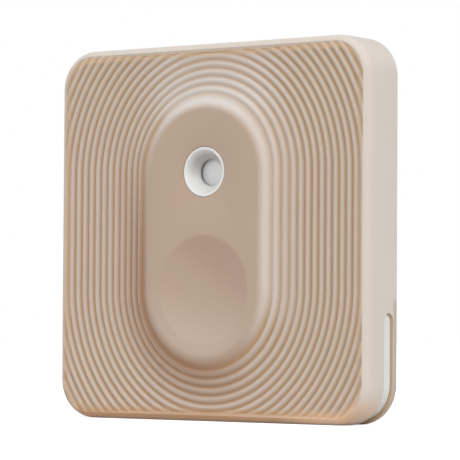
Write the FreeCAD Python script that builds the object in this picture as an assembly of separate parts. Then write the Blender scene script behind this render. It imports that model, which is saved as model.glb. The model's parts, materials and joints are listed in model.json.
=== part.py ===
import FreeCAD, Part
import math
import os

# Room temperature and humidity sensor: a ridged soft casing stretched over a white core, run by a coin cell.
# Millimetres. X is right, Z is up and the front faces -Y. The origin is the centre of the back face.
# A depth is a distance from the back plane towards the front, so it is a place on -Y.

Vector = FreeCAD.Vector

# Soft casing, outside
casing_width = 50.0
casing_height = 50.0
corner_radius = 5.2
groove_floor_depth = 6.65
edge_bow_radius = 9.4
edge_bow_angle = 6.0
edge_round = 1.2
back_round = 0.45

# Raised panel in the middle of the front, with round ends
track_length = 15.3
panel_flat_radius = 8.3
panel_rise = 1.6
panel_round = 2.6
panel_flank_angle = 26.0

# Ridges that repeat the panel's outline out to the edges
first_groove_radius = 10.47
first_groove_rise = 0.85
low_groove_radius = 15.3
ridge_pitch = 1.065
ridge_spread = 0.02
spread_ridges = 5
ridge_height = 0.3
rim_rise = 0.33
rim_bow_radius = 124.0
edge_cover = 0.07

# Soft casing, inside
side_wall = 1.2
front_wall = 0.65
panel_wall = 1.1
back_lip_depth = 0.8
back_lip_reach = 0.8

# Press area on the lower round end's centre, and sensor port a little above the upper one's
dish_radius = 7.4
dish_depth = 0.45
pad_gap = 0.1
button_travel = 0.2
port_raise = 0.2
port_radius = 3.3
port_bore_radius = 2.2
port_bowl_depth = 1.75
port_bowl_swell = 0.15
port_lip = 0.15

# Opening slot round the lower right corner
slot_top = -10.6
slot_back_depth = 1.15
slot_front_depth = 3.3
slot_end_x = 14.0
slot_recess = 0.47

# Core
fit_gap = 0.05
core_wall = 1.25
core_front_wall = 0.85
chamber_wall = 0.9
cover_thickness = 0.8
skirt_wall = 0.8
skirt_height = 1.5
skirt_gap = 0.1
notch_width = 8.0
notch_height = 1.6
notch_depth = 0.45

# Coin cell, 20 mm across and 3.2 mm thick
cell_radius = 10.0
cell_height = 3.2
foam_thickness = 0.2
cell_sheet = 0.25
cell_crimp = 0.9
cell_crimp_slant = 0.35
cell_shoulder = 0.2
cell_seal_wall = 0.3
cell_seal_reach = 1.2
cell_seal_gap = 0.02
foam_radius = 6.0

# Ring round the cell and the two contacts
cradle_gap = 0.15
cradle_wall = 1.05
cradle_back_depth = 1.6
cradle_window_width = 6.0
cradle_thumb_width = 9.0
cradle_thumb_floor = 0.8
strip_thickness = 0.15
strip_width = 4.0
strip_stand_off = 0.95
strip_foot = 2.2
strip_top = 0.8
strip_finger = 1.0
plate_thickness = 0.12
plate_radius = 3.2
plate_point_radius = 0.5
plate_point_circle = 2.2

# Circuit board, smaller than the core's room, and the core's stakes that hold it
board_side_gap = 1.4
board_end_gap = 1.0
board_corner = 2.2
board_thickness = 0.6
contact_gap = 0.25
stake_radius = 0.6
stake_head_radius = 1.1
stake_head_height = 0.35
stake_inset = 1.4

# Parts behind the board: size across, size up and thickness, then how far the centre is in from the edges
radio_size = 5.0
radio_thickness = 0.85
radio_inset = 5.4
memory_width = 4.0
memory_height = 3.0
memory_thickness = 0.6
memory_inset = 5.0
crystal_width = 2.5
crystal_height = 3.2
crystal_thickness = 0.7
crystal_drop = 5.4
antenna_width = 7.0
antenna_height = 2.0
antenna_thickness = 1.2
antenna_side_inset = 8.0
antenna_end_inset = 1.6
row_inset = 2.4
capacitor_width = 1.6
capacitor_height = 0.8
capacitor_thickness = 0.8
capacitor_pitch = 1.6
capacitor_inset = 4.5
resistor_width = 1.0
resistor_height = 0.5
resistor_thickness = 0.35
resistor_pitch = 1.4

half_width = casing_width / 2
half_height = casing_height / 2
panel_depth = groove_floor_depth + panel_rise
port_z = track_length / 2 + port_raise
dish_z = -track_length / 2

core_half_width = half_width - side_wall - fit_gap
core_half_height = half_height - side_wall - fit_gap
core_corner = corner_radius - side_wall - fit_gap
core_back_depth = back_lip_depth + fit_gap
core_front_depth = groove_floor_depth - front_wall - fit_gap
core_panel_depth = panel_depth - panel_wall - fit_gap
room_half_width = core_half_width - core_wall
room_half_height = core_half_height - core_wall
room_corner = core_corner - core_wall
room_front_depth = core_front_depth - core_front_wall

lip_half_width = half_width - side_wall - back_lip_reach
lip_half_height = half_height - side_wall - back_lip_reach
lip_corner = corner_radius - side_wall - back_lip_reach

cell_back_depth = cover_thickness + foam_thickness
cell_front_depth = cell_back_depth + cell_height
crimp_radius = cell_radius - cell_crimp
crimp_depth = cell_front_depth - cell_shoulder
crimp_back_depth = crimp_depth - cell_sheet
cap_radius = cell_radius - cell_seal_reach
cap_back_depth = crimp_back_depth - cell_sheet - cell_shoulder
seal_outer = cell_radius - cell_sheet - cell_seal_gap
board_back_depth = cell_front_depth + contact_gap
board_front_depth = board_back_depth + board_thickness
board_half_width = room_half_width - board_side_gap
board_half_height = room_half_height - board_end_gap

# Under the panel: the switch, the plunger and the sensor's chamber
switch_width = 3.6
switch_length = 3.0
switch_height = 0.6
switch_lid = 0.1
switch_floor = 0.1
well_radius = 0.9
actuator_stand = 0.25
actuator_radius = 0.7
plunger_radius = 2.9
plunger_flange_radius = 3.6
plunger_flange = 0.25
running_gap = 0.1
filter_radius = 1.9
filter_thickness = 0.2
filter_drop = 2.4
filter_edge = 0.08
sensor_size = 1.5
sensor_thickness = 0.5
gasket_radius = 3.2
gasket_bore_radius = 1.3
filter_top_depth = panel_depth - filter_drop
filter_back_depth = filter_top_depth - filter_thickness
switch_top_depth = board_front_depth + switch_height
plunger_back_depth = switch_top_depth + actuator_stand
chamber_front_depth = plunger_back_depth + plunger_flange + fit_gap
chamber_radius = panel_flat_radius - chamber_wall
pad_back_depth = panel_depth - panel_wall + button_travel + fit_gap


def block(x_from, x_to, z_from, z_to, depth_from, depth_to):
    """Upright box between two places on X, two on Z and two depths."""
    size = (x_to - x_from, depth_to - depth_from, z_to - z_from)
    return Part.makeBox(*size, Vector(x_from, -depth_to, z_from))


def chip(x, z, width, height, depth_from, depth_to):
    """Box centred on a place on the board."""
    return block(x - width / 2, x + width / 2, z - height / 2, z + height / 2, depth_from, depth_to)


def disc(x, z, radius, depth_from, depth_to):
    """Round plate or hole facing the front."""
    return Part.makeCylinder(radius, depth_to - depth_from, Vector(x, -depth_from, z), Vector(0, -1, 0))


def rounded_block(half_x, half_z, radius, depth_from, depth_to):
    """Box centred on the back face's centre, with its four long edges rounded."""
    body = block(-half_x, half_x, -half_z, half_z, depth_from, depth_to)
    edges = [edge for edge in body.Edges if abs(edge.tangentAt(edge.FirstParameter).y) > 0.9]
    return body.makeFillet(radius, edges)


def stadium_block(radius, depth_from, depth_to):
    """Block with the panel's outline: two round ends joined by straight sides."""
    body = block(-radius, radius, -track_length / 2, track_length / 2, depth_from, depth_to)
    ends = [disc(0, z, radius, depth_from, depth_to) for z in (-track_length / 2, track_length / 2)]
    return body.fuse(ends).removeSplitter()


def point(radius, depth):
    """Point of a section that is drawn by radius and depth."""
    return Vector(radius, -depth, 0)


def line(start, end):
    return Part.LineSegment(start, end).toShape()


def arc(start, middle, end):
    return Part.Arc(start, middle, end).toShape()


def section_face(edges):
    return Part.Face(Part.Wire(Part.__sortEdges__(edges)))


def spun(corners, x, z):
    """Solid of revolution facing the front, from the corners of its half section."""
    points = [point(radius, depth) for radius, depth in corners]
    face = Part.Face(Part.makePolygon(points + points[:1]))
    body = face.revolve(Vector(0, 0, 0), Vector(0, 1, 0), 360)
    body.translate(Vector(x, 0, z))
    return body


def groove_radii():
    """Radius of every groove: the pitch is a little wider on the panel's foot."""
    radii = [first_groove_radius]
    reach = math.hypot(half_width, half_height - track_length / 2) + ridge_pitch
    while radii[-1] < reach:
        extra = max(spread_ridges - (len(radii) - 1), 0) * ridge_spread
        radii.append(radii[-1] + ridge_pitch + extra)
    return radii


def groove_floor(radius):
    """Depth of the groove floors: hollow at the panel's foot, then rising gently to the rim."""
    run = low_groove_radius - radius
    if run > 0:
        foot_run = low_groove_radius - first_groove_radius
        foot_radius = (foot_run ** 2 + first_groove_rise ** 2) / (2 * first_groove_rise)
        rise = foot_radius - math.sqrt(foot_radius ** 2 - run ** 2)
    else:
        rise = min(run ** 2 / (2 * rim_bow_radius), rim_rise)
    return groove_floor_depth + rise


def front_section():
    """Half section through the ridged front, from the panel's middle to beyond the corners."""
    turn = math.radians(panel_flank_angle)
    flat_end = point(panel_flat_radius, panel_depth)
    bend = point(panel_flat_radius + panel_round * math.sin(turn / 2),
                 panel_depth - panel_round * (1 - math.cos(turn / 2)))
    flank = point(panel_flat_radius + panel_round * math.sin(turn),
                  panel_depth - panel_round * (1 - math.cos(turn)))
    grooves = [point(radius, groove_floor(radius)) for radius in groove_radii()]
    edges = [line(point(0, panel_depth), flat_end), arc(flat_end, bend, flank), line(flank, grooves[0])]
    for start, end in zip(grooves, grooves[1:]):
        along = (end - start).normalize()
        crest = (start + end) * 0.5 + Vector(along.y, -along.x, 0) * ridge_height
        edges.append(arc(start, crest, end))
    back_corner = Vector(grooves[-1].x, 0, 0)
    edges += [line(grooves[-1], back_corner), line(back_corner, point(0, 0))]
    edges.append(line(point(0, 0), point(0, panel_depth)))
    return section_face(edges)


def edge_section():
    """Section from a corner's axis out through the casing's bowed side and its rounded edges."""
    turn = math.radians(edge_bow_angle)
    front = groove_floor_depth + rim_rise + ridge_height + edge_cover
    bow_start = front - edge_round * (1 - math.sin(turn)) - edge_bow_radius * math.sin(turn)
    bow_centre = corner_radius - edge_bow_radius

    def on_bow(angle):
        return point(bow_centre + edge_bow_radius * math.cos(angle),
                     bow_start + edge_bow_radius * math.sin(angle))

    round_centre = on_bow(turn) - Vector(math.cos(turn), -math.sin(turn), 0) * edge_round
    middle = (turn + math.pi / 2) / 2
    on_round = round_centre + Vector(math.cos(middle), -math.sin(middle), 0) * edge_round
    front_start = round_centre + Vector(0, -edge_round, 0)
    back_start = point(corner_radius - back_round, 0)
    back_end = point(corner_radius, back_round)
    slant = back_round * (1 - math.sqrt(0.5))
    edges = [line(point(0, 0), back_start)]
    edges.append(arc(back_start, point(corner_radius - slant, slant), back_end))
    edges.append(line(back_end, on_bow(0)))
    edges.append(arc(on_bow(0), on_bow(turn / 2), on_bow(turn)))
    edges.append(arc(on_bow(turn), on_round, front_start))
    edges.append(line(front_start, point(0, front)))
    edges.append(line(point(0, front), point(0, 0)))
    return section_face(edges), front


def casing_envelope():
    """Cushion-like block with the casing's outline, its bowed sides and rounded edges."""
    face, front = edge_section()
    inner_x = half_width - corner_radius
    inner_z = half_height - corner_radius
    pieces = []
    for turn, run, reach in ((0, inner_z, inner_x), (90, inner_x, inner_z),
                             (180, inner_z, inner_x), (270, inner_x, inner_z)):
        side = face.copy()
        side.translate(Vector(reach, 0, -run))
        corner = face.copy().revolve(Vector(0, 0, 0), Vector(0, -1, 0), 90)
        corner.translate(Vector(reach, 0, run))
        for piece in (side.extrude(Vector(0, 0, 2 * run)), corner):
            piece.rotate(Vector(0, 0, 0), Vector(0, -1, 0), turn)
            pieces.append(piece)
    middle = block(-inner_x, inner_x, -inner_z, inner_z, 0, front)
    return middle.fuse(pieces).removeSplitter()


def ridged_block():
    """Block whose front carries the panel and the ridges round it."""
    face = front_section()
    upper = face.copy().revolve(Vector(0, 0, 0), Vector(0, -1, 0), 180)
    upper.translate(Vector(0, 0, track_length / 2))
    lower = face.copy().revolve(Vector(0, 0, 0), Vector(0, 1, 0), 180)
    lower.translate(Vector(0, 0, -track_length / 2))
    right = face.copy()
    right.translate(Vector(0, 0, -track_length / 2))
    right = right.extrude(Vector(0, 0, track_length))
    left = right.copy()
    left.rotate(Vector(0, 0, 0), Vector(0, 1, 0), 180)
    return upper.fuse([lower, right, left])


def slot_zone(gap):
    """Region of the slot along the wall: down the right side and round the lower corner."""
    depth_from = slot_back_depth + gap
    depth_to = slot_front_depth - gap
    end_round = (depth_to - depth_from) / 2
    end_z = slot_top - (slot_front_depth - slot_back_depth) / 2
    far = casing_width
    run = block(slot_end_x + gap, far, -far, end_z, depth_from, depth_to)
    end = Part.makeCylinder(end_round, far, Vector(slot_end_x + gap, -(depth_from + end_round), end_z),
                            Vector(1, 0, 0))
    return run.fuse(end)


def dish_ball():
    """Ball that hollows the press area."""
    radius = (dish_radius ** 2 + dish_depth ** 2) / (2 * dish_depth)
    centre_depth = panel_depth - dish_depth + radius
    return Part.makeSphere(radius, Vector(0, -centre_depth, dish_z))


def outer_casing():
    """Soft ridged skin with a lip that grips the core's back rim."""
    tall_panel = stadium_block(groove_radii()[2], 0, panel_depth + 1)
    body = ridged_block().common(casing_envelope().fuse(tall_panel))
    room = rounded_block(half_width - side_wall, half_height - side_wall, corner_radius - side_wall,
                         back_lip_depth, groove_floor_depth - front_wall)
    mouth = rounded_block(lip_half_width, lip_half_height, lip_corner, -1, back_lip_depth)
    panel_room = stadium_block(panel_flat_radius, back_lip_depth, panel_depth - panel_wall)
    port = disc(0, port_z, port_radius + fit_gap, back_lip_depth, panel_depth + 1)
    press = disc(0, dish_z, dish_radius + pad_gap, back_lip_depth, panel_depth + 1)
    return body.cut([room, mouth, panel_room, port, press, slot_zone(0)])


def press_pad():
    """Dished disc of the skin over the switch, clear of the core by more than it travels."""
    return disc(0, dish_z, dish_radius, pad_back_depth, panel_depth).cut(dish_ball())


def front_core():
    """White core: a tray with a raised middle, the sensor's funnel and the stakes for the board."""
    body = rounded_block(core_half_width, core_half_height, core_corner, core_back_depth, core_front_depth)
    body = body.fuse(stadium_block(panel_flat_radius - fit_gap, core_back_depth, core_panel_depth))
    land_half_width = half_width - slot_recess
    land_half_height = half_height - slot_recess
    land = rounded_block(land_half_width, land_half_height, corner_radius - slot_recess,
                         core_back_depth, slot_front_depth)
    body = body.fuse(land.common(slot_zone(fit_gap)))
    body = body.fuse(disc(0, port_z, port_radius, core_panel_depth, panel_depth))
    room = rounded_block(room_half_width, room_half_height, room_corner, 0, room_front_depth)
    chamber = stadium_block(chamber_radius, 0, chamber_front_depth)
    guide = disc(0, dish_z, plunger_radius + running_gap, 0, panel_depth)
    bore_top = panel_depth - port_bowl_depth
    bore = disc(0, port_z, port_bore_radius, 0, bore_top)
    body = body.cut([room, chamber, guide, bore, port_bowl(bore_top)])
    return body.fuse(stakes())


def port_bowl(bore_top):
    """Space inside the funnel: a bowl that narrows to the bore."""
    mouth = port_radius - port_lip
    start = point(mouth, panel_depth)
    end = point(port_bore_radius, bore_top)
    middle = (start + end) * 0.5 + Vector(port_bowl_swell, port_bowl_swell, 0)
    above = panel_depth + 1
    corners = [end, point(0, bore_top), point(0, above), point(mouth, above), start]
    edges = [arc(start, middle, end)] + [line(*pair) for pair in zip(corners, corners[1:])]
    bowl = section_face(edges).revolve(Vector(0, 0, 0), Vector(0, 1, 0), 360)
    bowl.translate(Vector(0, 0, port_z))
    return bowl


def stake_places():
    x = board_half_width - stake_inset
    z = board_half_height - stake_inset
    return [(-x, -z), (x, -z), (x, z), (-x, z)]


def stakes():
    """Pins that pass through the board and are melted over behind it."""
    tip_depth = board_back_depth - stake_head_height
    pins = []
    for x, z in stake_places():
        pins.append(disc(x, z, stake_radius, tip_depth, room_front_depth + core_front_wall / 2))
        pins.append(disc(x, z, stake_head_radius, tip_depth, board_back_depth))
    return pins


def rear_cover():
    """Snap-in back plate with a skirt inside the core and a notch for a coin."""
    plate = rounded_block(lip_half_width - fit_gap, lip_half_height - fit_gap, lip_corner - fit_gap,
                          0, cover_thickness)
    skirt_x = room_half_width - skirt_gap
    skirt_z = room_half_height - skirt_gap
    skirt_corner = room_corner - skirt_gap
    skirt_top = cover_thickness + skirt_height
    skirt = rounded_block(skirt_x, skirt_z, skirt_corner, 0, skirt_top)
    inner = rounded_block(skirt_x - skirt_wall, skirt_z - skirt_wall, skirt_corner - skirt_wall,
                          cover_thickness, skirt_top)
    notch = block(-notch_width / 2, notch_width / 2, -half_height, notch_height - lip_half_height,
                  0, notch_depth)
    return plate.fuse(skirt).cut([inner, notch])


def cell_foam_pad():
    """Thin foam disc that keeps the cell from rattling."""
    return disc(0, 0, foam_radius, cover_thickness, cell_back_depth)


def button_plunger():
    """Stepped disc between the press area and the switch."""
    stem = disc(0, dish_z, plunger_radius, plunger_back_depth, pad_back_depth)
    flange_front = plunger_back_depth + plunger_flange
    return stem.fuse(disc(0, dish_z, plunger_flange_radius, plunger_back_depth, flange_front))


def main_board():
    """Circuit board with a hole for each stake."""
    board = rounded_block(board_half_width, board_half_height, board_corner,
                          board_back_depth, board_front_depth)
    return board.cut([disc(x, z, stake_radius, 0, panel_depth) for x, z in stake_places()])


def cell_can():
    """Steel cup whose rim is crimped in over the seal."""
    inner = cell_radius - cell_sheet
    floor = cell_back_depth + cell_sheet
    corners = [(0, cell_back_depth), (cell_radius, cell_back_depth),
               (cell_radius, crimp_depth - cell_crimp_slant),
               (cell_radius - cell_crimp_slant, crimp_depth), (crimp_radius, crimp_depth),
               (crimp_radius, crimp_back_depth), (inner - cell_shoulder, crimp_back_depth),
               (inner, crimp_back_depth - cell_shoulder), (inner, floor), (0, floor)]
    return spun(corners, 0, 0)


def cell_seal():
    """Plastic ring that parts the can from the cap."""
    inner = seal_outer - cell_seal_wall
    low = cell_back_depth + cell_sheet
    high = crimp_back_depth - cell_shoulder - cell_seal_gap
    lip = crimp_back_depth - cell_seal_gap
    top = crimp_depth + fit_gap
    cap_side = cap_radius + cell_seal_gap
    corners = [(inner, low), (seal_outer, low), (seal_outer, high), (crimp_radius, lip),
               (crimp_radius - cell_seal_gap, top), (cap_side, top), (cap_side, high), (inner, high)]
    return spun(corners, 0, 0)


def cell_filling():
    """Pressed pellet, separator and lithium disc, as one block."""
    return disc(0, 0, seal_outer - cell_seal_wall, cell_back_depth + cell_sheet, cap_back_depth)


def cell_cap():
    """Pressed steel lid on the filling."""
    corners = [(0, cap_back_depth), (cap_radius, cap_back_depth), (cap_radius, crimp_depth),
               (cap_radius - cell_shoulder, cell_front_depth), (0, cell_front_depth)]
    return spun(corners, 0, 0)


def battery_cradle():
    """Ring on the board round the cell, with a window for the side contact and a thumb gap below."""
    inner = cell_radius + cradle_gap
    outer = inner + cradle_wall
    ring = disc(0, 0, outer, cradle_back_depth, board_back_depth).cut(disc(0, 0, inner, 0, panel_depth))
    window = block(-cradle_window_width / 2, cradle_window_width / 2, 0, outer, 0, panel_depth)
    thumb = block(-cradle_thumb_width / 2, cradle_thumb_width / 2, -outer, 0,
                  0, board_back_depth - cradle_thumb_floor)
    return ring.cut([window, thumb])


def positive_contact():
    """Bent spring strip that presses on the can's side."""
    wall_z = cell_radius + strip_stand_off
    foot_z = wall_z + strip_foot
    top = cell_back_depth + strip_top
    tip = top + strip_finger
    touch = cell_radius + cell_seal_gap
    outline = [(foot_z, board_back_depth), (wall_z, board_back_depth), (wall_z, top + strip_thickness),
               (touch, tip), (touch, tip - strip_thickness), (wall_z, top), (wall_z + strip_thickness, top),
               (wall_z + strip_thickness, board_back_depth - strip_thickness),
               (foot_z, board_back_depth - strip_thickness)]
    points = [Vector(-strip_width / 2, -depth, z) for z, depth in outline]
    return Part.Face(Part.makePolygon(points + points[:1])).extrude(Vector(strip_width, 0, 0))


def negative_contact():
    """Plate on the board with three raised points that touch the cap."""
    plate_back = board_back_depth - plate_thickness
    plate = disc(0, 0, plate_radius, plate_back, board_back_depth)
    points = []
    for turn in (90, 210, 330):
        x = plate_point_circle * math.cos(math.radians(turn))
        z = plate_point_circle * math.sin(math.radians(turn))
        points.append(disc(x, z, plate_point_radius, cell_front_depth, plate_back))
    return plate.fuse(points)


def switch_body():
    """Low push switch with a well for the actuator."""
    body = chip(0, dish_z, switch_width, switch_length, board_front_depth, switch_top_depth - switch_lid)
    return body.cut(disc(0, dish_z, well_radius, board_front_depth + switch_floor, panel_depth))


def switch_lid_plate():
    """Sheet metal lid that keeps the actuator in."""
    lid = chip(0, dish_z, switch_width, switch_length, switch_top_depth - switch_lid, switch_top_depth)
    return lid.cut(disc(0, dish_z, actuator_radius + running_gap, 0, panel_depth))


def switch_actuator():
    """Round stem of the switch."""
    return disc(0, dish_z, actuator_radius, switch_top_depth - 2 * switch_lid, plunger_back_depth)


def sensor_chip():
    """Temperature and humidity sensor on the board's front, under the port."""
    return chip(0, port_z, sensor_size, sensor_size, board_front_depth, board_front_depth + sensor_thickness)


def sensor_gasket():
    """Soft ring that ducts air from the port to the sensor."""
    ring = disc(0, port_z, gasket_radius, board_front_depth, chamber_front_depth)
    bore = disc(0, port_z, gasket_bore_radius, 0, panel_depth)
    counterbore = disc(0, port_z, port_bore_radius, filter_back_depth, panel_depth)
    return ring.cut([bore, counterbore])


def sensor_filter():
    """Breathable disc at the bottom of the port."""
    body = disc(0, port_z, filter_radius, filter_back_depth, filter_top_depth)
    rim = [edge for edge in body.Edges if abs(edge.BoundBox.YMin + filter_top_depth) < 0.001
           and edge.BoundBox.YLength < 0.001]
    return body.makeFillet(filter_edge, rim)


def behind_board(x, z, width, height, thickness):
    """Part soldered on the board's back."""
    return chip(x, z, width, height, board_back_depth - thickness, board_back_depth)


def radio_chip():
    x = board_half_width - radio_inset
    z = board_half_height - radio_inset
    return behind_board(x, z, radio_size, radio_size, radio_thickness)


def memory_chip():
    x = memory_inset - board_half_width
    z = memory_inset - board_half_height
    return behind_board(x, z, memory_width, memory_height, memory_thickness)


def crystal():
    x = board_half_width - row_inset
    z = board_half_height - radio_inset - crystal_drop
    return behind_board(x, z, crystal_width, crystal_height, crystal_thickness)


def chip_antenna():
    x = antenna_side_inset - board_half_width
    z = board_half_height - antenna_end_inset
    return behind_board(x, z, antenna_width, antenna_height, antenna_thickness)


def capacitors():
    """Five capacitors in a row up from the board's lower right corner."""
    x = board_half_width - row_inset
    low = capacitor_inset - board_half_height
    return Part.makeCompound([behind_board(x, low + step * capacitor_pitch, capacitor_width, capacitor_height,
                                           capacitor_thickness) for step in range(5)])


def resistors():
    """Six resistors in a row at the middle of the board's left edge."""
    x = row_inset - board_half_width
    return Part.makeCompound([behind_board(x, (step - 2.5) * resistor_pitch, resistor_width, resistor_height,
                                           resistor_thickness) for step in range(6)])


nodes = {
    "outer_casing": outer_casing(),
    "press_pad": press_pad(),
    "front_core": front_core(),
    "rear_cover": rear_cover(),
    "cell_foam_pad": cell_foam_pad(),
    "button_plunger": button_plunger(),
    "main_board": main_board(),
    "cell_can": cell_can(),
    "cell_seal": cell_seal(),
    "cell_filling": cell_filling(),
    "cell_cap": cell_cap(),
    "battery_cradle": battery_cradle(),
    "positive_contact": positive_contact(),
    "negative_contact": negative_contact(),
    "switch_body": switch_body(),
    "switch_lid_plate": switch_lid_plate(),
    "switch_actuator": switch_actuator(),
    "sensor_chip": sensor_chip(),
    "sensor_gasket": sensor_gasket(),
    "sensor_filter": sensor_filter(),
    "radio_chip": radio_chip(),
    "memory_chip": memory_chip(),
    "crystal": crystal(),
    "chip_antenna": chip_antenna(),
    "capacitors": capacitors(),
    "resistors": resistors(),
}

os.makedirs("parts", exist_ok=True)
for name, shape in nodes.items():
    shape.exportStep(f"parts/{name}.step")
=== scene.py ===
import json
import math
import bmesh
import bpy
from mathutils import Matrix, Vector

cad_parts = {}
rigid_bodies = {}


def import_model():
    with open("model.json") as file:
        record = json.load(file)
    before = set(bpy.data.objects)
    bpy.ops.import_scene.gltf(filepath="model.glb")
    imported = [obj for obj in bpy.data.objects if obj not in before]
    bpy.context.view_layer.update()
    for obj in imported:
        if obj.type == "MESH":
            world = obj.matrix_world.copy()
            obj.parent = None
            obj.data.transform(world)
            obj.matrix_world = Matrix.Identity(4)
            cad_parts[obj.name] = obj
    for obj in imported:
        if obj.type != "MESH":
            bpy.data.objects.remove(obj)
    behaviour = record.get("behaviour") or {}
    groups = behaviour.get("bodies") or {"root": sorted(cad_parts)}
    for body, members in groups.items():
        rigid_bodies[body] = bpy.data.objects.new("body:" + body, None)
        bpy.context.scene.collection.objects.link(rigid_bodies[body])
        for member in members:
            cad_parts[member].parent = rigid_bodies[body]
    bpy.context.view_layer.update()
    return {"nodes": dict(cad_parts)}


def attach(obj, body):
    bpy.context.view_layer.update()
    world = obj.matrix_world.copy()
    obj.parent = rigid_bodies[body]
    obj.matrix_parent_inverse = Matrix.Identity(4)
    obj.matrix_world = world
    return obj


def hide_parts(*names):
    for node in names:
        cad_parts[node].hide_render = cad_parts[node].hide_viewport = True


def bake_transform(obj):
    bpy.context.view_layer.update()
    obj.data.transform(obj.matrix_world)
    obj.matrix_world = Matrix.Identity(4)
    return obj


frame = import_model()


# The camera: it stands to the right of the sensor and a little below its middle, about 0.35 m away, with a
# long lens, so that the ridged front and the side with the slot both show.
scene = bpy.context.scene
bpy.ops.object.camera_add(location=(0.20203, -0.28681, -0.01204),
                          rotation=(math.radians(92.038), math.radians(-0.376), math.radians(35.352)))
camera = bpy.context.object
camera.data.lens = 204.97
camera.data.sensor_width = 36
camera.data.clip_start = 0.01
scene.camera = camera
scene.view_settings.view_transform = "Standard"


# The soft skin: one moulding of tan silicone rubber, 50 mm square and stretched over the white core.
# Its front carries the raised panel and the ridges that repeat the panel's outline. The port and the
# press area are openings here, and a slot is cut round the lower right corner, near the back.
mm = 0.001
half_width = 25 * mm
half_height = 25 * mm
corner_radius = 5.2 * mm
track = 15.3 * mm
port_z = track / 2 + 0.2 * mm
upper_end = track / 2 + 0.15 * mm
dish_z = -track / 2
panel_depth = 8.25 * mm
panel_flat_radius = 8.3 * mm
panel_round = 2.6 * mm
panel_round_turn = math.radians(26)
port_hole_radius = 3.35 * mm
press_hole_radius = 7.5 * mm


def only(*objects):
    """Nothing but these is selected, and the first is active."""
    bpy.ops.object.select_all(action="DESELECT")
    for thing in objects:
        thing.select_set(True)
    bpy.context.view_layer.objects.active = objects[0]


def place(radius, depth, z=0.0):
    """A point on an outline: its distance from the middle line, and its depth from the back to the front."""
    return Vector((radius, -depth, z))


def traced(name, points):
    """A chain of edges pulled out of one vertex, point by point. Left in edit mode, all selected."""
    bpy.ops.object.select_all(action="DESELECT")
    bpy.ops.mesh.primitive_plane_add(size=mm, location=points[0])
    piece = bpy.context.object
    piece.name = name
    bpy.ops.object.mode_set(mode="EDIT")
    bpy.ops.mesh.select_mode(type="VERT")
    bpy.ops.mesh.select_all(action="SELECT")
    bpy.ops.mesh.merge(type="CENTER")
    for start, end in zip(points, points[1:]):
        bpy.ops.mesh.extrude_region_move(TRANSFORM_OT_translate={"value": end - start})
    bpy.ops.mesh.select_all(action="SELECT")
    return piece


def closed_up(piece):
    """Merges what a spin leaves double, turns the faces outwards and leaves the object at the origin."""
    bpy.ops.mesh.select_all(action="SELECT")
    bpy.ops.mesh.remove_doubles(threshold=0.0005 * mm)
    bpy.ops.mesh.normals_make_consistent(inside=False)
    bpy.ops.object.mode_set(mode="OBJECT")
    only(piece)
    bpy.ops.object.transform_apply(location=True, rotation=True, scale=True)


def pulled(depth):
    """Extrudes the selected faces by a depth, towards the front where it is positive."""
    bpy.ops.mesh.extrude_region_move(TRANSFORM_OT_translate={"value": (0, -depth, 0)})


def pick(piece, kind, wanted):
    """Selects the vertices, edges or faces that the test wants, in edit mode."""
    bpy.ops.mesh.select_mode(type={"verts": "VERT", "edges": "EDGE", "faces": "FACE"}[kind])
    mesh = bmesh.from_edit_mesh(piece.data)
    for group in (mesh.faces, mesh.edges, mesh.verts):
        for item in group:
            item.select = False
    for item in getattr(mesh, kind):
        if wanted(item):
            item.select_set(True)
    mesh.select_flush_mode()
    bmesh.update_edit_mesh(piece.data)


def cut(piece, tool, operation="DIFFERENCE"):
    """Applies a boolean with the tool, which is then thrown away."""
    only(piece)
    modifier = piece.modifiers.new("cut", "BOOLEAN")
    modifier.object = tool
    modifier.operation = operation
    modifier.solver = "EXACT"
    bpy.ops.object.modifier_apply(modifier=modifier.name)
    bpy.data.objects.remove(tool)


def rounded_plate(name, half_x, half_z, radius, depth, segments=20):
    """A flat face with round corners that looks to the front. Left in edit mode, selected."""
    bpy.ops.object.select_all(action="DESELECT")
    bpy.ops.mesh.primitive_plane_add(size=2, rotation=(math.pi / 2, 0, 0))
    piece = bpy.context.object
    piece.name = name
    bpy.ops.object.transform_apply(location=True, rotation=True, scale=True)
    bpy.ops.object.mode_set(mode="EDIT")
    bpy.ops.mesh.select_mode(type="VERT")
    bpy.ops.mesh.select_all(action="SELECT")
    bpy.ops.transform.resize(value=(half_x, 1, half_z))
    bpy.ops.transform.translate(value=(0, -depth, 0))
    bpy.ops.mesh.bevel(offset=radius, offset_type="OFFSET", segments=segments, affect="VERTICES")
    return piece


def rounded_block(name, half_x, half_z, radius, depth_from, depth_to, segments=20):
    """A block with four round upright edges."""
    piece = rounded_plate(name, half_x, half_z, radius, depth_from, segments)
    pulled(depth_to - depth_from)
    closed_up(piece)
    return piece


def round_bar(name, z, radius, depth_from, depth_to, sides=96):
    """A cylinder on the middle line that faces the front, for a hole."""
    bpy.ops.object.select_all(action="DESELECT")
    bpy.ops.mesh.primitive_cylinder_add(vertices=sides, radius=radius, depth=depth_to - depth_from,
                                        location=(0, -(depth_from + depth_to) / 2, z),
                                        rotation=(math.pi / 2, 0, 0))
    piece = bpy.context.object
    piece.name = name
    bpy.ops.object.transform_apply(location=True, rotation=True, scale=True)
    return piece


def stadium_bar(name, radius, depth_from, depth_to):
    """A bar with the panel's outline: a cylinder parted in the middle and pulled to length."""
    piece = round_bar(name, 0, radius, depth_from, depth_to)
    bpy.ops.object.mode_set(mode="EDIT")
    bpy.ops.mesh.select_all(action="SELECT")
    bpy.ops.mesh.bisect(plane_co=(0, 0, 0), plane_no=(0, 0, 1))
    pick(piece, "verts", lambda vert: vert.co.z > 0.0001 * mm)
    bpy.ops.transform.translate(value=(0, 0, track / 2))
    pick(piece, "verts", lambda vert: vert.co.z < -0.0001 * mm)
    bpy.ops.transform.translate(value=(0, 0, -track / 2))
    closed_up(piece)
    return piece


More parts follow.
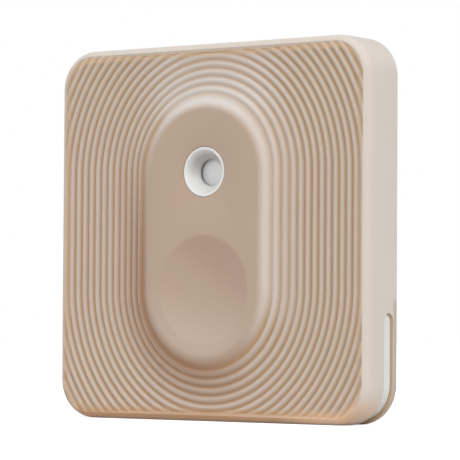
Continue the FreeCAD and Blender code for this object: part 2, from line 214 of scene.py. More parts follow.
# The grooves repeat the panel's outline, each a step further out. Those next to the panel lie a little wider
# apart.
groove_count = 21
groove_step = 1.065 * mm
groove_radii = [10.47 * mm]
while len(groove_radii) < groove_count:
    wider = max(6 - len(groove_radii), 0) * 0.02 * mm
    groove_radii.append(groove_radii[-1] + groove_step + wider)
groove_floor_depth = 6.65 * mm
foot_end = 15.3 * mm
foot_rise = 0.85 * mm
floor_curve = 248 * mm
floor_rise = 0.33 * mm
ridge_height = 0.3 * mm
ridge_fullness = 0.85


def groove_floor(radius):
    """Depth of the groove floors: hollow at the panel's foot, then rising gently to the rim."""
    run = foot_end - radius
    if run > 0:
        foot_run = foot_end - groove_radii[0]
        foot_radius = (foot_run ** 2 + foot_rise ** 2) / (2 * foot_rise)
        return groove_floor_depth + foot_radius - math.sqrt(foot_radius ** 2 - run ** 2)
    return groove_floor_depth + min(run ** 2 / floor_curve, floor_rise)


def ridge_lift(share):
    """Height of a ridge over its grooves, a soft wave from one groove to the next."""
    return ridge_height * (0.5 - 0.5 * math.cos(2 * math.pi * share)) ** ridge_fullness


# The front's outline runs from the middle of the panel over its round edge and the ridges, and is spun round
# both ends of the track.
block_back = -1 * mm
half_spin_steps = 72
front_line = [place(0, panel_depth, upper_end), place(panel_flat_radius, panel_depth, upper_end)]
for step in range(1, 9):
    turn = panel_round_turn * step / 8
    front_line.append(place(panel_flat_radius + panel_round * math.sin(turn),
                            panel_depth - panel_round * (1 - math.cos(turn)), upper_end))
for inner, outer in zip(groove_radii, groove_radii[1:]):
    for step in range(10):
        radius = inner + (outer - inner) * step / 10
        front_line.append(place(radius, groove_floor(radius) + ridge_lift(step / 10), upper_end))
front_line.append(place(groove_radii[-1], groove_floor(groove_radii[-1]), upper_end))
front_line.append(place(groove_radii[-1], block_back, upper_end))
front_line.append(place(0, block_back, upper_end))
skin = traced("ridged_skin", front_line)
bpy.ops.mesh.spin(steps=half_spin_steps, angle=math.pi, center=(0, 0, upper_end), axis=(0, 1, 0))
bpy.ops.mesh.extrude_region_move(TRANSFORM_OT_translate={"value": (0, 0, -track / 2 - upper_end)})
bpy.ops.mesh.spin(steps=half_spin_steps, angle=math.pi, center=(0, 0, -track / 2), axis=(0, 1, 0))
bpy.ops.mesh.extrude_region_move(TRANSFORM_OT_translate={"value": (0, 0, track / 2 + upper_end)})
closed_up(skin)

# The casing's outer shape: sides that bow in slightly, a soft front edge and a small round at the back.
cushion_front = 7.35 * mm
cushion_room = 2 * mm
bow_radius = 9.4 * mm
bow_turn = math.radians(6)
edge_round = 1.2 * mm
back_round = 0.45 * mm
bow_start = cushion_front - edge_round * (1 - math.sin(bow_turn)) - bow_radius * math.sin(bow_turn)
edge_line = [(0.0, bow_start)]
for step in range(1, 5):
    turn = bow_turn * step / 4
    edge_line.append((bow_radius * (1 - math.cos(turn)), bow_start + bow_radius * math.sin(turn)))
round_inset = bow_radius * (1 - math.cos(bow_turn)) + edge_round * math.cos(bow_turn)
round_depth = bow_start + bow_radius * math.sin(bow_turn) - edge_round * math.sin(bow_turn)
for step in range(1, 9):
    turn = bow_turn + (math.pi / 2 - bow_turn) * step / 8
    edge_line.append((round_inset - edge_round * math.cos(turn), round_depth + edge_round * math.sin(turn)))

cushion = rounded_plate("cushion", half_width, half_height, corner_radius, back_round, 24)
pulled(bow_start - back_round)
for start, end in zip(edge_line, edge_line[1:]):
    bpy.ops.mesh.inset(thickness=end[0] - start[0], depth=end[1] - start[1])
bpy.ops.mesh.inset(thickness=cushion_room, depth=0)
pulled(cushion_room)
pick(cushion, "faces", lambda face: abs(face.normal.y) > 0.995 and face.calc_center_median().y > -mm)
for step in range(1, 4):
    before = math.pi / 2 * (step - 1) / 3
    after = math.pi / 2 * step / 3
    bpy.ops.mesh.inset(thickness=back_round * (math.cos(before) - math.cos(after)),
                       depth=back_round * (math.sin(after) - math.sin(before)))
closed_up(cushion)

# A smooth band at the rim, where the ridges run out: a frame whose opening slopes down to them.
rim_width = 0.75 * mm
rim_slope = 0.45 * mm
rim_step = 0.5 * mm
rim_spare = 2 * mm
rim_back = -0.5 * mm
rim_front = 8 * mm
rim_room_front = 12 * mm
rim_room_reach = 8 * mm
rim = rounded_block("rim", half_width + rim_spare, half_height + rim_spare, corner_radius + rim_spare,
                    rim_back, rim_front)
rim_room = rounded_plate("rim_room", half_width - rim_width, half_height - rim_width,
                         corner_radius - rim_width, rim_room_front, 24)
pulled(cushion_front - rim_room_front)
bpy.ops.mesh.inset(thickness=rim_slope, depth=0)
bpy.ops.transform.translate(value=(0, rim_step, 0))
pulled(-rim_room_reach)
closed_up(rim_room)
cut(rim, rim_room)
cut(skin, rim, "UNION")
cut(skin, cushion, "INTERSECT")

# The inside is hollow for the core, with a lip at the back that holds the skin on it.
skin_wall = 1.2 * mm
lip_depth = 0.8 * mm
room_depth = 6.0 * mm
mouth_half = 23 * mm
mouth_corner = 3.2 * mm
mouth_depth = 1.2 * mm
panel_room_depth = 7.15 * mm
hole_from = 5 * mm
hole_to = 10 * mm
cut(skin, rounded_block("room", half_width - skin_wall, half_height - skin_wall, corner_radius - skin_wall,
                        lip_depth, room_depth))
cut(skin, rounded_block("mouth", mouth_half, mouth_half, mouth_corner, -mm, mouth_depth))
cut(skin, stadium_bar("panel_room", panel_flat_radius, hole_from, panel_room_depth))
cut(skin, round_bar("port_hole", port_z, port_hole_radius, hole_from, hole_to))
cut(skin, round_bar("press_hole", dish_z, press_hole_radius, hole_from, hole_to, 144))

# The slot runs down the right side and round the corner. Its upper end is round.
slot_top = -10.6 * mm
slot_back = 1.15 * mm
slot_front = 3.3 * mm
slot_end = 14 * mm
slot_end_radius = 1.074 * mm
slot_tool_size = 30 * mm
bpy.ops.object.select_all(action="DESELECT")
bpy.ops.mesh.primitive_cube_add(size=1)
slot_tool = bpy.context.object
bpy.ops.object.mode_set(mode="EDIT")
bpy.ops.transform.resize(value=(slot_tool_size, slot_front - slot_back, slot_tool_size))
bpy.ops.transform.translate(value=(slot_end + slot_tool_size / 2, -(slot_back + slot_front) / 2,
                                   slot_top - slot_tool_size / 2))
pick(slot_tool, "edges", lambda edge: all(abs(vert.co.z - slot_top) < 0.01 * mm for vert in edge.verts)
     and abs(edge.verts[0].co.x - edge.verts[1].co.x) > mm)
bpy.ops.mesh.bevel(offset=slot_end_radius, segments=10, affect="EDGES")
closed_up(slot_tool)
cut(skin, slot_tool)

# The port's edge is slightly rounded.
port_edge_round = 0.12 * mm
only(skin)
bpy.ops.object.mode_set(mode="EDIT")
pick(skin, "edges", lambda edge: all(abs(vert.co.y + panel_depth) < 0.002 * mm and abs(
    math.hypot(vert.co.x, vert.co.z - port_z) - port_hole_radius) < 0.02 * mm for vert in edge.verts))
bpy.ops.mesh.bevel(offset=port_edge_round, segments=3, affect="EDGES")
closed_up(skin)

# Every vertex of the front keeps how far down it lies in a groove, for the painted shade in the grooves.
front_from = 6.4 * mm
hollow = skin.data.attributes.new("hollow", "FLOAT", "POINT")
for vert, item in zip(skin.data.vertices, hollow.data):
    radius = math.hypot(vert.co.x, max(vert.co.z - upper_end, -track / 2 - vert.co.z, 0))
    for inner, outer in zip(groove_radii, groove_radii[1:]):
        if inner <= radius + 0.001 * mm < outer and -vert.co.y > front_from:
            item.value = 1 - ridge_lift((radius - inner) / (outer - inner)) / ridge_height


def add(tree, kind, sockets=(), **settings):
    """A shader node with its settings made, and its sockets set or linked."""
    made = tree.nodes.new("ShaderNode" + kind)
    for key, value in settings.items():
        setattr(made, key, value)
    for key, value in dict(sockets).items():
        if isinstance(value, bpy.types.NodeSocket):
            tree.links.new(value, made.inputs[key])
        else:
            made.inputs[key].default_value = value
    return made


def blank(name, roughness, **shader_values):
    """A new material, with its tree, its shader and the place on the piece."""
    material = bpy.data.materials.new(name)
    material.use_nodes = True
    tree = material.node_tree
    shader = tree.nodes["Principled BSDF"]
    shader.inputs["Roughness"].default_value = roughness
    for key, value in shader_values.items():
        shader.inputs[key.replace("_", " ")].default_value = value
    return material, tree, shader, add(tree, "TexCoord").outputs["Object"]


def dress(material, *pieces):
    """Gives a finish to the pieces."""
    for piece in pieces:
        piece.data.materials.clear()
        piece.data.materials.append(material)


def toned(tree, share, colour, other, blend="MIX"):
    """One colour that turns into another, or is multiplied by it, by a share."""
    made = add(tree, "Mix", {0: share}, data_type="RGBA", blend_type=blend)
    for socket, tone in ((6, colour), (7, other)):
        if isinstance(tone, bpy.types.NodeSocket):
            tree.links.new(tone, made.inputs[socket])
        else:
            made.inputs[socket].default_value = (*tone, 1)
    return made.outputs[2]


def eased(tree, value, low, high, at_low, at_high):
    """A share that goes softly from one level to another between two values."""
    made = add(tree, "MapRange", {0: value, 1: low, 2: high, 3: at_low, 4: at_high},
               interpolation_type="SMOOTHSTEP")
    return made.outputs[0]


def both(tree, one, two, kind="MULTIPLY"):
    """Two numbers combined."""
    return add(tree, "Math", {0: one, 1: two}, operation=kind).outputs[0]


def along(tree, where, direction):
    """How far a place lies from the middle in one direction."""
    return add(tree, "VectorMath", {0: where, 1: direction}, operation="DOT_PRODUCT").outputs["Value"]


def length(tree, vector):
    return add(tree, "VectorMath", {0: vector}, operation="LENGTH").outputs["Value"]


def polished(tree, shader, patches, low, high):
    """A roughness that changes in soft patches."""
    made = add(tree, "MapRange", {0: patches, 1: 0.3, 2: 0.7, 3: low, 4: high})
    tree.links.new(made.outputs[0], shader.inputs["Roughness"])


def grained(tree, shader, height, strength, depth):
    """A fine relief on the surface."""
    made = add(tree, "Bump", {"Height": height, "Strength": strength, "Distance": depth})
    tree.links.new(made.outputs[0], shader.inputs["Normal"])


# The silicone's tans: two close ones in random patches on the panel, paler on the ridges and the walls.
# Painted light makes it paler low on the panel, on the flank's right and upper side, at the top, and at the
# border on the right and at the top. Painted shade makes it golden or darker in the grooves, at the rim line,
# along the bottom, at the low right corner, at the panel's foot, high in the dish, behind the slot and on its
# walls.
panel_tan = (0.475, 0.343, 0.251)
panel_tan_light = (0.505, 0.367, 0.269)
low_panel_painted_light = (0.56, 0.42, 0.33)
high_dish_painted_shade = (0.93, 0.88, 0.87)
flank_painted_light = (0.71, 0.635, 0.57)
ridge_cream = (0.61, 0.51, 0.435)
top_flank_painted_light = (0.74, 0.69, 0.65)
top_ridge_painted_light = (0.65, 0.575, 0.52)
groove_painted_shade = (0.44, 0.262, 0.125)
top_groove_painted_shade = (0.53, 0.33, 0.18)
foot_painted_shadow = (0.74, 0.60, 0.50)
rim_painted_shade = (0.58, 0.40, 0.25)
top_rim_painted_shade = (0.74, 0.53, 0.33)
side_cream_and_painted_light = (0.693, 0.612, 0.538)
bottom_painted_shade = (0.51, 0.265, 0.10)
corner_painted_shade = (0.74, 0.485, 0.31)
back_ring_painted_shade = (0.74, 0.69, 0.65)
slot_painted_shade = (0.60, 0.42, 0.23)

skin_finish, tree, shader, where = blank("tan_silicone", 0.52, IOR=1.45, Sheen_Weight=0.7,
                                         Sheen_Roughness=0.5)
shader.inputs["Sheen Tint"].default_value = (1.0, 0.98, 0.96, 1)
cloud = add(tree, "TexNoise", {"Vector": where, "Scale": 160.0, "Detail": 4.0,
                               "Roughness": 0.6}).outputs["Fac"]
speck = add(tree, "TexNoise", {"Vector": where, "Scale": 5200.0, "Detail": 2.0}).outputs["Fac"]

# Measures of a place on the skin: its inset from the casing's outline, its distance from the panel's track,
# and how far to the right, to the back and up it lies.
flat = add(tree, "VectorMath", {0: where, 1: (1.0, 0.0, 1.0)}, operation="MULTIPLY").outputs[0]
folded = add(tree, "VectorMath", {0: flat}, operation="ABSOLUTE").outputs[0]
straight = (half_width - corner_radius, 0.0, half_height - corner_radius)
beyond = add(tree, "VectorMath", {0: folded, 1: straight}, operation="SUBTRACT").outputs[0]
outside = add(tree, "VectorMath", {0: beyond, 1: (0.0, 0.0, 0.0)}, operation="MAXIMUM").outputs[0]
parts = add(tree, "SeparateXYZ", {0: beyond}).outputs
inside = both(tree, both(tree, parts[0], parts[2], "MAXIMUM"), 0.0, "MINIMUM")
inset = both(tree, corner_radius, both(tree, length(tree, outside), inside, "ADD"), "SUBTRACT")
past_ends = add(tree, "VectorMath", {0: folded, 1: (0.0, 0.0, track / 2)}, operation="SUBTRACT").outputs[0]
past_ends = add(tree, "VectorMath", {0: past_ends, 1: (0.0, 0.0, 0.0)}, operation="MAXIMUM").outputs[0]
from_track = length(tree, past_ends)
from_dish = add(tree, "VectorMath", {0: flat, 1: (0.0, 0.0, dish_z)}, operation="DISTANCE").outputs["Value"]
rightwards, backwards, upwards = add(tree, "SeparateXYZ", {0: where}).outputs
across = both(tree, rightwards, 0.0, "ABSOLUTE")
lean = along(tree, where, (0.6, 0.0, 0.4))
drop = along(tree, where, (0.2, 0.0, 0.8))
tilt = along(tree, where, (0.58, 0.0, 0.81))
towards_slot = along(tree, where, (1.0, 0.0, -1.0))

# panel and dish: tan in random patches, paler low on the panel (painted light), darker high in the dish
# (painted shade)
skin_tone = toned(tree, cloud, panel_tan, panel_tan_light)
# painted light: the panel paler low down, towards its lower left
low_panel = both(tree, eased(tree, from_track, 8.6 * mm, 9.4 * mm, 1.0, 0.0),
                 eased(tree, drop, -13 * mm, -6 * mm, 1.0, 0.0))
skin_tone = toned(tree, low_panel, skin_tone, low_panel_painted_light)
# painted shade: the dish darker on its upper right, where its slope faces away from the light
high_dish = both(tree, eased(tree, from_dish, 6.8 * mm, 7.4 * mm, 1.0, 0.0),
                 eased(tree, tilt, -7 * mm, -1.5 * mm, 0.0, 1.0))
skin_tone = toned(tree, high_dish, skin_tone, high_dish_painted_shade, "MULTIPLY")

# flank and ridges: the ridges a paler tan of their own; the flank paler on its right and upper side and all
# paler at the top, which is painted light
# painted light: the flank paler on its right and upper side, towards the lamps
lit_flank_share = both(tree, eased(tree, from_track, panel_flat_radius, groove_radii[0] - 0.5 * mm, 0.0, 1.0),
                eased(tree, lean, -4 * mm, 4 * mm, 0.0, 1.0))
off_flank = eased(tree, from_track, groove_radii[0] - 0.1 * mm, groove_radii[1], 0.0, 1.0)
# painted light: flank and ridges paler at the top, where light falls from above
lit_top = both(tree, eased(tree, upwards, 13 * mm, 18 * mm, 0.0, 1.0),
              eased(tree, across, 3 * mm, 14 * mm, 1.0, 0.0))
skin_tone = toned(tree, lit_flank_share, skin_tone, flank_painted_light)
skin_tone = toned(tree, off_flank, skin_tone, ridge_cream)
skin_tone = toned(tree, both(tree, lit_top, lit_flank_share), skin_tone, top_flank_painted_light)
skin_tone = toned(tree, both(tree, lit_top, off_flank), skin_tone, top_ridge_painted_light)

# grooves, and the panel's foot at the lower left: both darkened with painted shade
# painted shade: gold down in the grooves, less at the top and next to the flank on the right, where light
# falls
deep = both(tree, add(tree, "Attribute", attribute_name="hollow").outputs["Fac"], 1.35, "POWER")
deep = both(tree, deep, eased(tree, lit_top, 0.0, 1.0, 1.0, 0.85))
lit_by_flank = both(tree, eased(tree, from_track, 11 * mm, 17 * mm, 1.0, 0.0),
                eased(tree, lean, 0.0, 4 * mm, 0.0, 1.0))
deep = both(tree, deep, eased(tree, lit_by_flank, 0.0, 1.0, 1.0, 0.6))
skin_tone = toned(tree, deep, skin_tone, toned(tree, lit_top, groove_painted_shade, top_groove_painted_shade))
# painted shadow: the ridges at the panel's foot darkened on its lower left, where the raised panel casts its
# shadow
foot = both(tree, eased(tree, from_track, 9.1 * mm, 10.2 * mm, 0.0, 1.0),
            eased(tree, from_track, 10.8 * mm, 16.5 * mm, 1.0, 0.0))
foot = both(tree, foot, eased(tree, lean, -9 * mm, -1 * mm, 1.0, 0.0))
skin_tone = toned(tree, foot, skin_tone, foot_painted_shadow, "MULTIPLY")

# rim, sides and bottom: painted shade at the rim line, along the bottom and at the low corner, and a border
# paler on the lit side
# painted shade: golden in the crease where the ridges run into the rim band, lighter at the top where light
# falls
rim_line_painted_shade = both(tree, eased(tree, inset, 0.8 * mm, 1.1 * mm, 0.0, 0.75),
                eased(tree, inset, 1.4 * mm, 2.0 * mm, 0.0, 0.75), "SUBTRACT")
rim_line_painted_shade = both(tree, rim_line_painted_shade, eased(tree, backwards, -6 * mm, -5 * mm, 1.0, 0.0))
rim_painted_shade_tone = toned(tree, eased(tree, upwards, 21.5 * mm, 23.5 * mm, 0.0, 1.0), rim_painted_shade, top_rim_painted_shade)
skin_tone = toned(tree, rim_line_painted_shade, skin_tone, rim_painted_shade_tone)
# the walls all round paler in a tone of their own; the border next to them paler only on the right and at the
# top, which is painted light
pale_walls_and_lit_border = both(tree, eased(tree, inset, 0.8 * mm, 1.2 * mm, 1.0, 0.0),
                  eased(tree, lean, -9 * mm, -4 * mm, 0.0, 1.0))
pale_walls_and_lit_border = both(tree, pale_walls_and_lit_border, eased(tree, inset, 0.05 * mm, 0.3 * mm, 1.0, 0.0), "MAXIMUM")
skin_tone = toned(tree, pale_walls_and_lit_border, skin_tone, side_cream_and_painted_light)
# painted shade: darker gold along the bottom, which faces down away from the light
at_bottom = eased(tree, upwards, -24.9 * mm, -22.9 * mm, 1.0, 0.0)
skin_tone = toned(tree, at_bottom, skin_tone, bottom_painted_shade)
# painted shade: golden low on the right corner, near the floor
low_corner = both(tree, eased(tree, upwards, -24.4 * mm, -20.4 * mm, 1.0, 0.0),
                  eased(tree, rightwards, 10 * mm, 18 * mm, 0.0, 1.0))
low_corner = both(tree, low_corner, eased(tree, inset, 0.8 * mm, 2.4 * mm, 1.0, 0.0))
skin_tone = toned(tree, low_corner, skin_tone, corner_painted_shade)

# the ring behind the slot and the slot's own walls, both darkened with painted shade
by_slot = eased(tree, towards_slot, 33 * mm, 35 * mm, 0.0, 1.0)
at_back = both(tree, eased(tree, inset, 0.3 * mm, 0.6 * mm, 1.0, 0.0),
               eased(tree, backwards, -1.3 * mm, -0.9 * mm, 0.0, 1.0))
skin_tone = toned(tree, both(tree, by_slot, at_back), skin_tone, back_ring_painted_shade, "MULTIPLY")
# painted shade: gold on the slot's cut walls, down in the recess
behind = both(tree, eased(tree, inset, 0.05 * mm, 0.14 * mm, 0.0, 0.9),
              eased(tree, backwards, -5.6 * mm, -5.0 * mm, 0.0, 1.0))
behind = both(tree, behind, eased(tree, backwards, -0.9 * mm, -0.5 * mm, 1.0, 0.0))
skin_tone = toned(tree, both(tree, by_slot, behind), skin_tone, slot_painted_shade)

tree.links.new(skin_tone, shader.inputs["Base Color"])
polished(tree, shader, cloud, 0.50, 0.60)
grained(tree, shader, speck, 0.25, 0.02 * mm)
dress(skin_finish, skin)

only(skin)
bpy.ops.object.shade_smooth_by_angle(angle=math.radians(35))
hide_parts("outer_casing")
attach(skin, "housing")


# The press area: the part of the same silicone that hollows in over the switch, 15 mm across. Its rim stays
# in the panel's face, and its middle gives by 0.2 mm when it is pressed.
def turned(name, outline, steps, z=0.0):
    """A round piece: an outline of radius and depth, spun about the line through its middle."""
    piece = traced(name, [place(radius, depth, z) for radius, depth in outline])
    bpy.ops.mesh.spin(steps=steps, angle=2 * math.pi, center=(0, 0, z), axis=(0, 1, 0))
    closed_up(piece)
    return piece


dish_reach = 7.2 * mm
dish_depth = 0.55 * mm
dish_round = 2.0 * mm
ball = (dish_reach ** 2 + dish_depth ** 2) / (2 * dish_depth)
dish_turn = math.asin(dish_reach / ball)
round_start = dish_reach - dish_round * math.tan(dish_turn / 2)
round_end = dish_reach + dish_round * math.tan(dish_turn / 2)
pad_line = []
for step in range(13):
    radius = round_start * step / 12
    pad_line.append((radius, panel_depth - dish_depth + ball - math.sqrt(ball ** 2 - radius ** 2)))
for step in range(1, 7):
    turn = dish_turn * (1 - step / 6)
    pad_line.append((round_end - dish_round * math.sin(turn),
                     panel_depth - dish_round * (1 - math.cos(turn))))
for radius, depth in ((7.5, 8.25), (7.44, 8.1), (7.4, 7.95), (7.4, 7.4), (0, 7.4)):
    pad_line.append((radius * mm, depth * mm))
pad = turned("press_dish", pad_line, 144, dish_z)
pad.data.attributes.new("hollow", "FLOAT", "POINT")
dress(skin_finish, pad)
bpy.ops.object.shade_smooth_by_angle(angle=math.radians(35))
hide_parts("press_pad")
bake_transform(pad)


# The core: a white tray moulded in hard plastic, over which the skin is stretched. Its funnel fills the port
# and narrows to a throat over the filter, and its land lies bare in the slot.
def moulded(name, colour, shade, roughness, grain, depth, patch=3 * mm, **shader_values):
    """Moulded plastic or rubber: two close colours in soft patches, uneven polish and a fine grain."""
    material, tree, shader, where = blank(name, roughness, **shader_values)
    cloud = add(tree, "TexNoise", {"Vector": where, "Scale": 1 / patch, "Detail": 3.0}).outputs["Fac"]
    speck = add(tree, "TexNoise", {"Vector": where, "Scale": 1 / grain, "Detail": 2.0}).outputs["Fac"]
    tree.links.new(toned(tree, cloud, colour, shade), shader.inputs["Base Color"])
    polished(tree, shader, cloud, roughness - 0.05, roughness + 0.05)
    grained(tree, shader, speck, 0.3, depth)
    return material


nodes = frame["nodes"]
# The white plastic is darkened high in the funnel's bowl, above the filter: painted shade.
bowl_painted_shade = (0.60, 0.555, 0.525)
white_plastic = moulded("white_plastic", (0.80, 0.80, 0.79), (0.84, 0.84, 0.83), 0.42, 0.12 * mm, 0.01 * mm)
tree = white_plastic.node_tree
base_colour = tree.nodes["Principled BSDF"].inputs["Base Color"]
where = add(tree, "TexCoord").outputs["Object"]
upwards = add(tree, "SeparateXYZ", {0: where}).outputs[2]
bowl_middle = (0.0, -7 * mm, port_z)
from_bowl = add(tree, "VectorMath", {0: where, 1: bowl_middle}, operation="DISTANCE").outputs["Value"]
in_bowl = eased(tree, from_bowl, 2.2 * mm, 3.2 * mm, 1.0, 0.0)
shaded = both(tree, in_bowl, eased(tree, upwards, port_z - 1.5 * mm, port_z + 2 * mm, 0.0, 1.0))
tint = toned(tree, shaded, base_colour.links[0].from_socket, bowl_painted_shade, "MULTIPLY")
tree.links.new(tint, base_colour)

only(nodes["front_core"])
bpy.ops.object.duplicate()
core = bpy.context.object
core.name = "white_core"
bpy.ops.object.parent_clear(type="CLEAR_KEEP_TRANSFORM")
bpy.ops.mesh.customdata_custom_splitnormals_clear()
bpy.ops.object.mode_set(mode="EDIT")
closed_up(core)

# The plain funnel is cut away and a finer one with a round mouth is set in its place.
plain_front = 9 * mm
cut(core, round_bar("plain_mouth", port_z, 3.31 * mm, 7.11 * mm, plain_front))
cut(core, round_bar("plain_bowl", port_z, 3.25 * mm, 6.35 * mm, plain_front))
funnel_line = [(radius * mm, depth * mm) for radius, depth in (
    (1.8, 6.3), (3.3, 6.3), (3.3, 8.12), (3.285, 8.175), (3.245, 8.22), (3.19, 8.243), (3.12, 8.25),
    (3.05, 8.243), (2.985, 8.22), (2.935, 8.175), (2.90, 8.11), (2.83, 7.95), (2.73, 7.75), (2.61, 7.55),
    (2.47, 7.35), (2.31, 7.16), (2.15, 7.0), (2.0, 6.87), (1.89, 6.77), (1.82, 6.67), (1.8, 6.55),
    (1.8, 6.3))]
funnel = turned("funnel", funnel_line, 96, port_z)
cut(core, funnel, "UNION")
dress(white_plastic, core)
bpy.ops.object.shade_smooth_by_angle(angle=math.radians(32))
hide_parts("front_core")
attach(core, "housing")


# The filter: a thin disc of white porous membrane that lies in the gasket and closes the port against dust.
# It is punched from sheet, so its edge is a little soft.
filter_line = [(radius * mm, depth * mm) for radius, depth in (
    (0, 5.85), (1.78, 5.85), (1.92, 5.838), (2.01, 5.80), (2.065, 5.74), (2.08, 5.67), (2.06, 5.65),
    (0, 5.65))]
membrane = turned("filter_disc", filter_line, 64, port_z)
filter_finish, tree, shader, where = blank("porous_membrane", 0.85, Sheen_Weight=0.2)
pores = add(tree, "TexVoronoi", {"Vector": where, "Scale": 9000.0, "Randomness": 0.8}).outputs["Distance"]
fibre = add(tree, "TexNoise", {"Vector": where, "Scale": 2500.0, "Detail": 4.0,
                               "Distortion": 1.5}).outputs["Fac"]
tree.links.new(toned(tree, fibre, (0.80, 0.80, 0.80), (0.88, 0.88, 0.88)), shader.inputs["Base Color"])
grained(tree, shader, pores, 0.5, 0.03 * mm)
dress(filter_finish, membrane)
bpy.ops.object.shade_smooth_by_angle(angle=math.radians(40))
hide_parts("sensor_filter")
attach(membrane, "housing")


# The gasket: a soft grey ring between the core and the board, which leads the air from the filter down to
# the sensor. It is moulded in silicone and squeezed a little between the two.
gasket_line = [(radius * mm, depth * mm) for radius, depth in (
    (1.3, 5.05), (3.14, 5.05), (3.2, 5.11), (3.2, 6.14), (3.14, 6.2), (2.26, 6.2), (2.2, 6.14), (2.2, 5.65),
    (1.36, 5.65), (1.3, 5.59), (1.3, 5.05))]
gasket = turned("air_gasket", gasket_line, 64, port_z)
dress(moulded("grey_rubber", (0.30, 0.30, 0.30), (0.35, 0.35, 0.35), 0.7, 0.1 * mm, 0.01 * mm), gasket)
bpy.ops.object.shade_smooth_by_angle(angle=math.radians(40))
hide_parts("sensor_gasket")
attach(gasket, "housing")


# The button's inner parts: a white plunger that carries the press on to the small switch on the board. The
# switch's black body is moulded and its lid is stamped sheet.
dress(white_plastic, nodes["button_plunger"])
black_plastic = moulded("black_plastic", (0.03, 0.03, 0.03), (0.045, 0.045, 0.045), 0.45, 0.1 * mm, 0.01 * mm)
dress(black_plastic, nodes["switch_body"], nodes["switch_actuator"])
nickel = moulded("nickel", (0.62, 0.61, 0.59), (0.68, 0.67, 0.65), 0.3, 0.2 * mm, 0.005 * mm, Metallic=1.0)
dress(nickel, nodes["switch_lid_plate"])


# The board: green glass-fibre sheet with copper tracks that show through its lacquer. It sits on the core's
# four stakes, which are melted over behind it.
lacquer_green = (0.015, 0.085, 0.035)
lacquer_green_light = (0.02, 0.11, 0.045)
track_green = (0.05, 0.22, 0.08)
board_finish, tree, shader, where = blank("board_green", 0.35, Coat_Weight=0.3)
cells = add(tree, "TexVoronoi", {"Vector": where, "Scale": 330.0, "Randomness": 0.35}, distance="MANHATTAN")
tracks = add(tree, "MapRange", {0: cells.outputs["Distance"], 1: 0.40, 2: 0.46}).outputs[0]
blotch = add(tree, "TexNoise", {"Vector": where, "Scale": 180.0, "Detail": 3.0}).outputs["Fac"]
lacquer = toned(tree, blotch, lacquer_green, lacquer_green_light)
tree.links.new(toned(tree, tracks, lacquer, track_green), shader.inputs["Base Color"])
grained(tree, shader, tracks, 0.5, 0.03 * mm)
dress(board_finish, nodes["main_board"])


# The parts on the board: black moulded chips and resistors, a bright crystal can, a pale ceramic antenna and
# tan capacitors, all soldered on its back. The sensor itself is on the front, under the port.
dress(moulded("chip_black", (0.02, 0.02, 0.022), (0.03, 0.03, 0.032), 0.55, 0.06 * mm, 0.006 * mm),
      nodes["radio_chip"], nodes["memory_chip"], nodes["sensor_chip"], nodes["resistors"])
dress(nickel, nodes["crystal"])
dress(moulded("white_ceramic", (0.66, 0.65, 0.61), (0.72, 0.71, 0.67), 0.4, 0.15 * mm, 0.004 * mm),
      nodes["chip_antenna"])
dress(moulded("tan_ceramic", (0.36, 0.24, 0.14), (0.42, 0.29, 0.18), 0.5, 0.1 * mm, 0.005 * mm),
      nodes["capacitors"])


# The cell and its holder: a coin cell of 20 mm in nickel-plated steel, with a plastic seal between can and
# cap, in a black ring on the board. A bent strip touches its side and a plate with three points its cap.
steel, tree, shader, where = blank("brushed_can", 0.28, Metallic=1.0)
spread = add(tree, "VectorMath", {0: where, 1: (1.0, 0.0, 1.0)}, operation="MULTIPLY").outputs[0]
rings = add(tree, "TexNoise", {"W": length(tree, spread), "Scale": 9000.0, "Detail": 3.0},
            noise_dimensions="1D").outputs["Fac"]
cloud = add(tree, "TexNoise", {"Vector": where, "Scale": 150.0, "Detail": 3.0}).outputs["Fac"]
tree.links.new(toned(tree, cloud, (0.58, 0.575, 0.56), (0.66, 0.655, 0.64)), shader.inputs["Base Color"])
polished(tree, shader, rings, 0.24, 0.4)
grained(tree, shader, rings, 0.15, 0.01 * mm)
dress(steel, nodes["cell_can"], nodes["cell_cap"])
dress(moulded("dark_seal", (0.10, 0.10, 0.10), (0.13, 0.13, 0.13), 0.6, 0.1 * mm, 0.005 * mm),
      nodes["cell_seal"], nodes["cell_filling"])
dress(black_plastic, nodes["battery_cradle"])
dress(nickel, nodes["positive_contact"], nodes["negative_contact"])


# The rear cover: a flat white plate with rounded edges that snaps into the core by its skirt. It has a notch
# for a coin in its lower edge, to prise it off when the cell is changed.
cover_half = 22.95 * mm
cover_corner = 3.15 * mm
cover_depth = 0.8 * mm
skirt_half = 22.4 * mm
skirt_corner = 2.6 * mm
skirt_wall = 0.8 * mm
skirt_from = 0.4 * mm
skirt_depth = 2.3 * mm
skirt_room_depth = 3 * mm
notch_size = (8 * mm, 0.9 * mm, 4 * mm)
notch_z = -23.4 * mm
notch_round = 0.35 * mm
edge_soft = 0.2 * mm
cover = rounded_block("back_plate", cover_half, cover_half, cover_corner, 0, cover_depth, 12)
skirt = rounded_block("skirt", skirt_half, skirt_half, skirt_corner, skirt_from, skirt_depth, 12)
cut(skirt, rounded_block("skirt_room", skirt_half - skirt_wall, skirt_half - skirt_wall,
                         skirt_corner - skirt_wall, 0, skirt_room_depth, 12))
cut(cover, skirt, "UNION")
bpy.ops.object.select_all(action="DESELECT")
bpy.ops.mesh.primitive_cube_add(size=1)
notch = bpy.context.object
bpy.ops.object.mode_set(mode="EDIT")
bpy.ops.transform.resize(value=notch_size)
bpy.ops.transform.translate(value=(0, 0, notch_z))
pick(notch, "edges", lambda edge: all(vert.co.z > notch_z + mm for vert in edge.verts))
bpy.ops.mesh.bevel(offset=notch_round, segments=4, affect="EDGES")
closed_up(notch)
cut(cover, notch)
only(cover)
soft_edge = cover.modifiers.new("soft_edge", "BEVEL")
soft_edge.width = edge_soft
soft_edge.segments = 3
soft_edge.limit_method = "ANGLE"
soft_edge.angle_limit = math.radians(50)
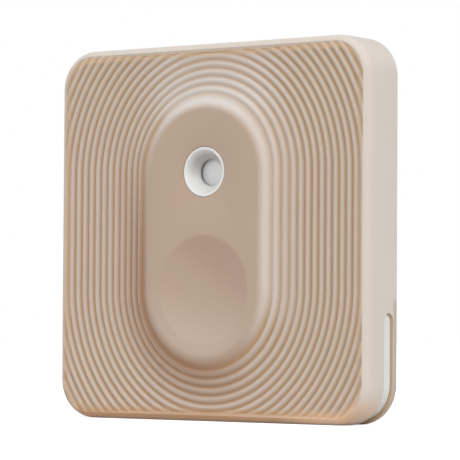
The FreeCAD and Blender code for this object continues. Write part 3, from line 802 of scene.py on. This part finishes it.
bpy.ops.object.modifier_apply(modifier=soft_edge.name)
dress(white_plastic, cover)
bpy.ops.object.shade_smooth_by_angle(angle=math.radians(35))
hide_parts("rear_cover")
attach(cover, "cover")


# The foam pad: a thin disc of dark open-cell foam, stuck inside the cover so that the cell can't rattle. It
# is punched from sheet and squeezed a little flatter at its rim.
foam_line = [(radius * mm, depth * mm) for radius, depth in (
    (0, 1.0), (3.5, 0.998), (5.2, 0.99), (5.7, 0.97), (5.92, 0.93), (6.0, 0.87), (5.97, 0.81), (5.9, 0.8),
    (0, 0.8))]
foam = turned("foam_disc", foam_line, 64)
foam_finish, tree, shader, where = blank("open_cell_foam", 0.95, Sheen_Weight=0.15)
pores = add(tree, "TexVoronoi", {"Vector": where, "Scale": 3800.0}, feature="SMOOTH_F1").outputs["Distance"]
tree.links.new(toned(tree, pores, (0.012, 0.012, 0.013), (0.045, 0.045, 0.048)), shader.inputs["Base Color"])
grained(tree, shader, pores, 0.9, 0.1 * mm)
dress(foam_finish, foam)
bpy.ops.object.shade_smooth_by_angle(angle=math.radians(40))
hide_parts("cell_foam_pad")
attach(foam, "cover")


# The studio: a pale floor under the sensor and a white surround. Large soft lamps stand on the right, in
# front, on the left and above, all far enough off to light the floor evenly.
bpy.ops.object.select_all(action="DESELECT")
bpy.ops.mesh.primitive_plane_add(size=2.4, location=(0, 0, -half_height))
floor = bpy.context.object
floor.name = "floor"
floor_finish, tree, shader, where = blank("floor_white", 0.9)
shader.inputs["Base Color"].default_value = (0.7, 0.7, 0.7, 1)
by_camera = add(tree, "LightPath").outputs["Is Camera Ray"]
bright = add(tree, "Emission", {"Color": (1, 1, 1, 1), "Strength": 0.72})
pale = add(tree, "BsdfDiffuse", {"Color": (0.85, 0.85, 0.85, 1)})
seen_floor = add(tree, "AddShader", {0: bright.outputs[0], 1: pale.outputs[0]})
either = add(tree, "MixShader", {0: by_camera, 1: shader.outputs[0], 2: seen_floor.outputs[0]})
tree.links.new(either.outputs[0], tree.nodes["Material Output"].inputs["Surface"])
dress(floor_finish, floor)

fill_level = 0.11
white_level = 1.0
world = bpy.data.worlds.new("surround")
scene.world = world
world.use_nodes = True
tree = world.node_tree
surround = tree.nodes["Background"]
surround.inputs["Color"].default_value = (1, 1, 1, 1)
rays = add(tree, "LightPath").outputs
seen = both(tree, rays["Is Camera Ray"], rays["Is Glossy Ray"], "MAXIMUM")
seen = both(tree, seen, rays["Is Transmission Ray"], "MAXIMUM")
strength = add(tree, "MapRange", {0: seen, 1: 0.0, 2: 1.0, 3: fill_level, 4: white_level}).outputs[0]
tree.links.new(strength, surround.inputs["Strength"])

lamp_distance = 3
lamp_size = 1.8


def lamp(name, azimuth, height, level):
    """A square soft lamp. Azimuth 0 is the front, 90 the right. At level 1, white that faces it is white."""
    turn = math.radians(azimuth)
    lift = math.radians(height)
    way = Vector((math.sin(turn) * math.cos(lift), -math.cos(turn) * math.cos(lift), math.sin(lift)))
    bpy.ops.object.light_add(type="AREA", location=way * lamp_distance)
    light = bpy.context.object
    light.name = name
    light.rotation_euler = way.to_track_quat("Z", "Y").to_euler()
    light.data.size = lamp_size
    light.data.energy = level * math.pi ** 2 * lamp_distance ** 2


lamp("key_lamp", 70, 38, 0.46)
lamp("side_lamp", 95, 5, 0.28)
lamp("front_lamp", 10, 20, 0.22)
lamp("left_lamp", -40, 10, 0.28)
lamp("top_lamp", 0, 85, 0.33)
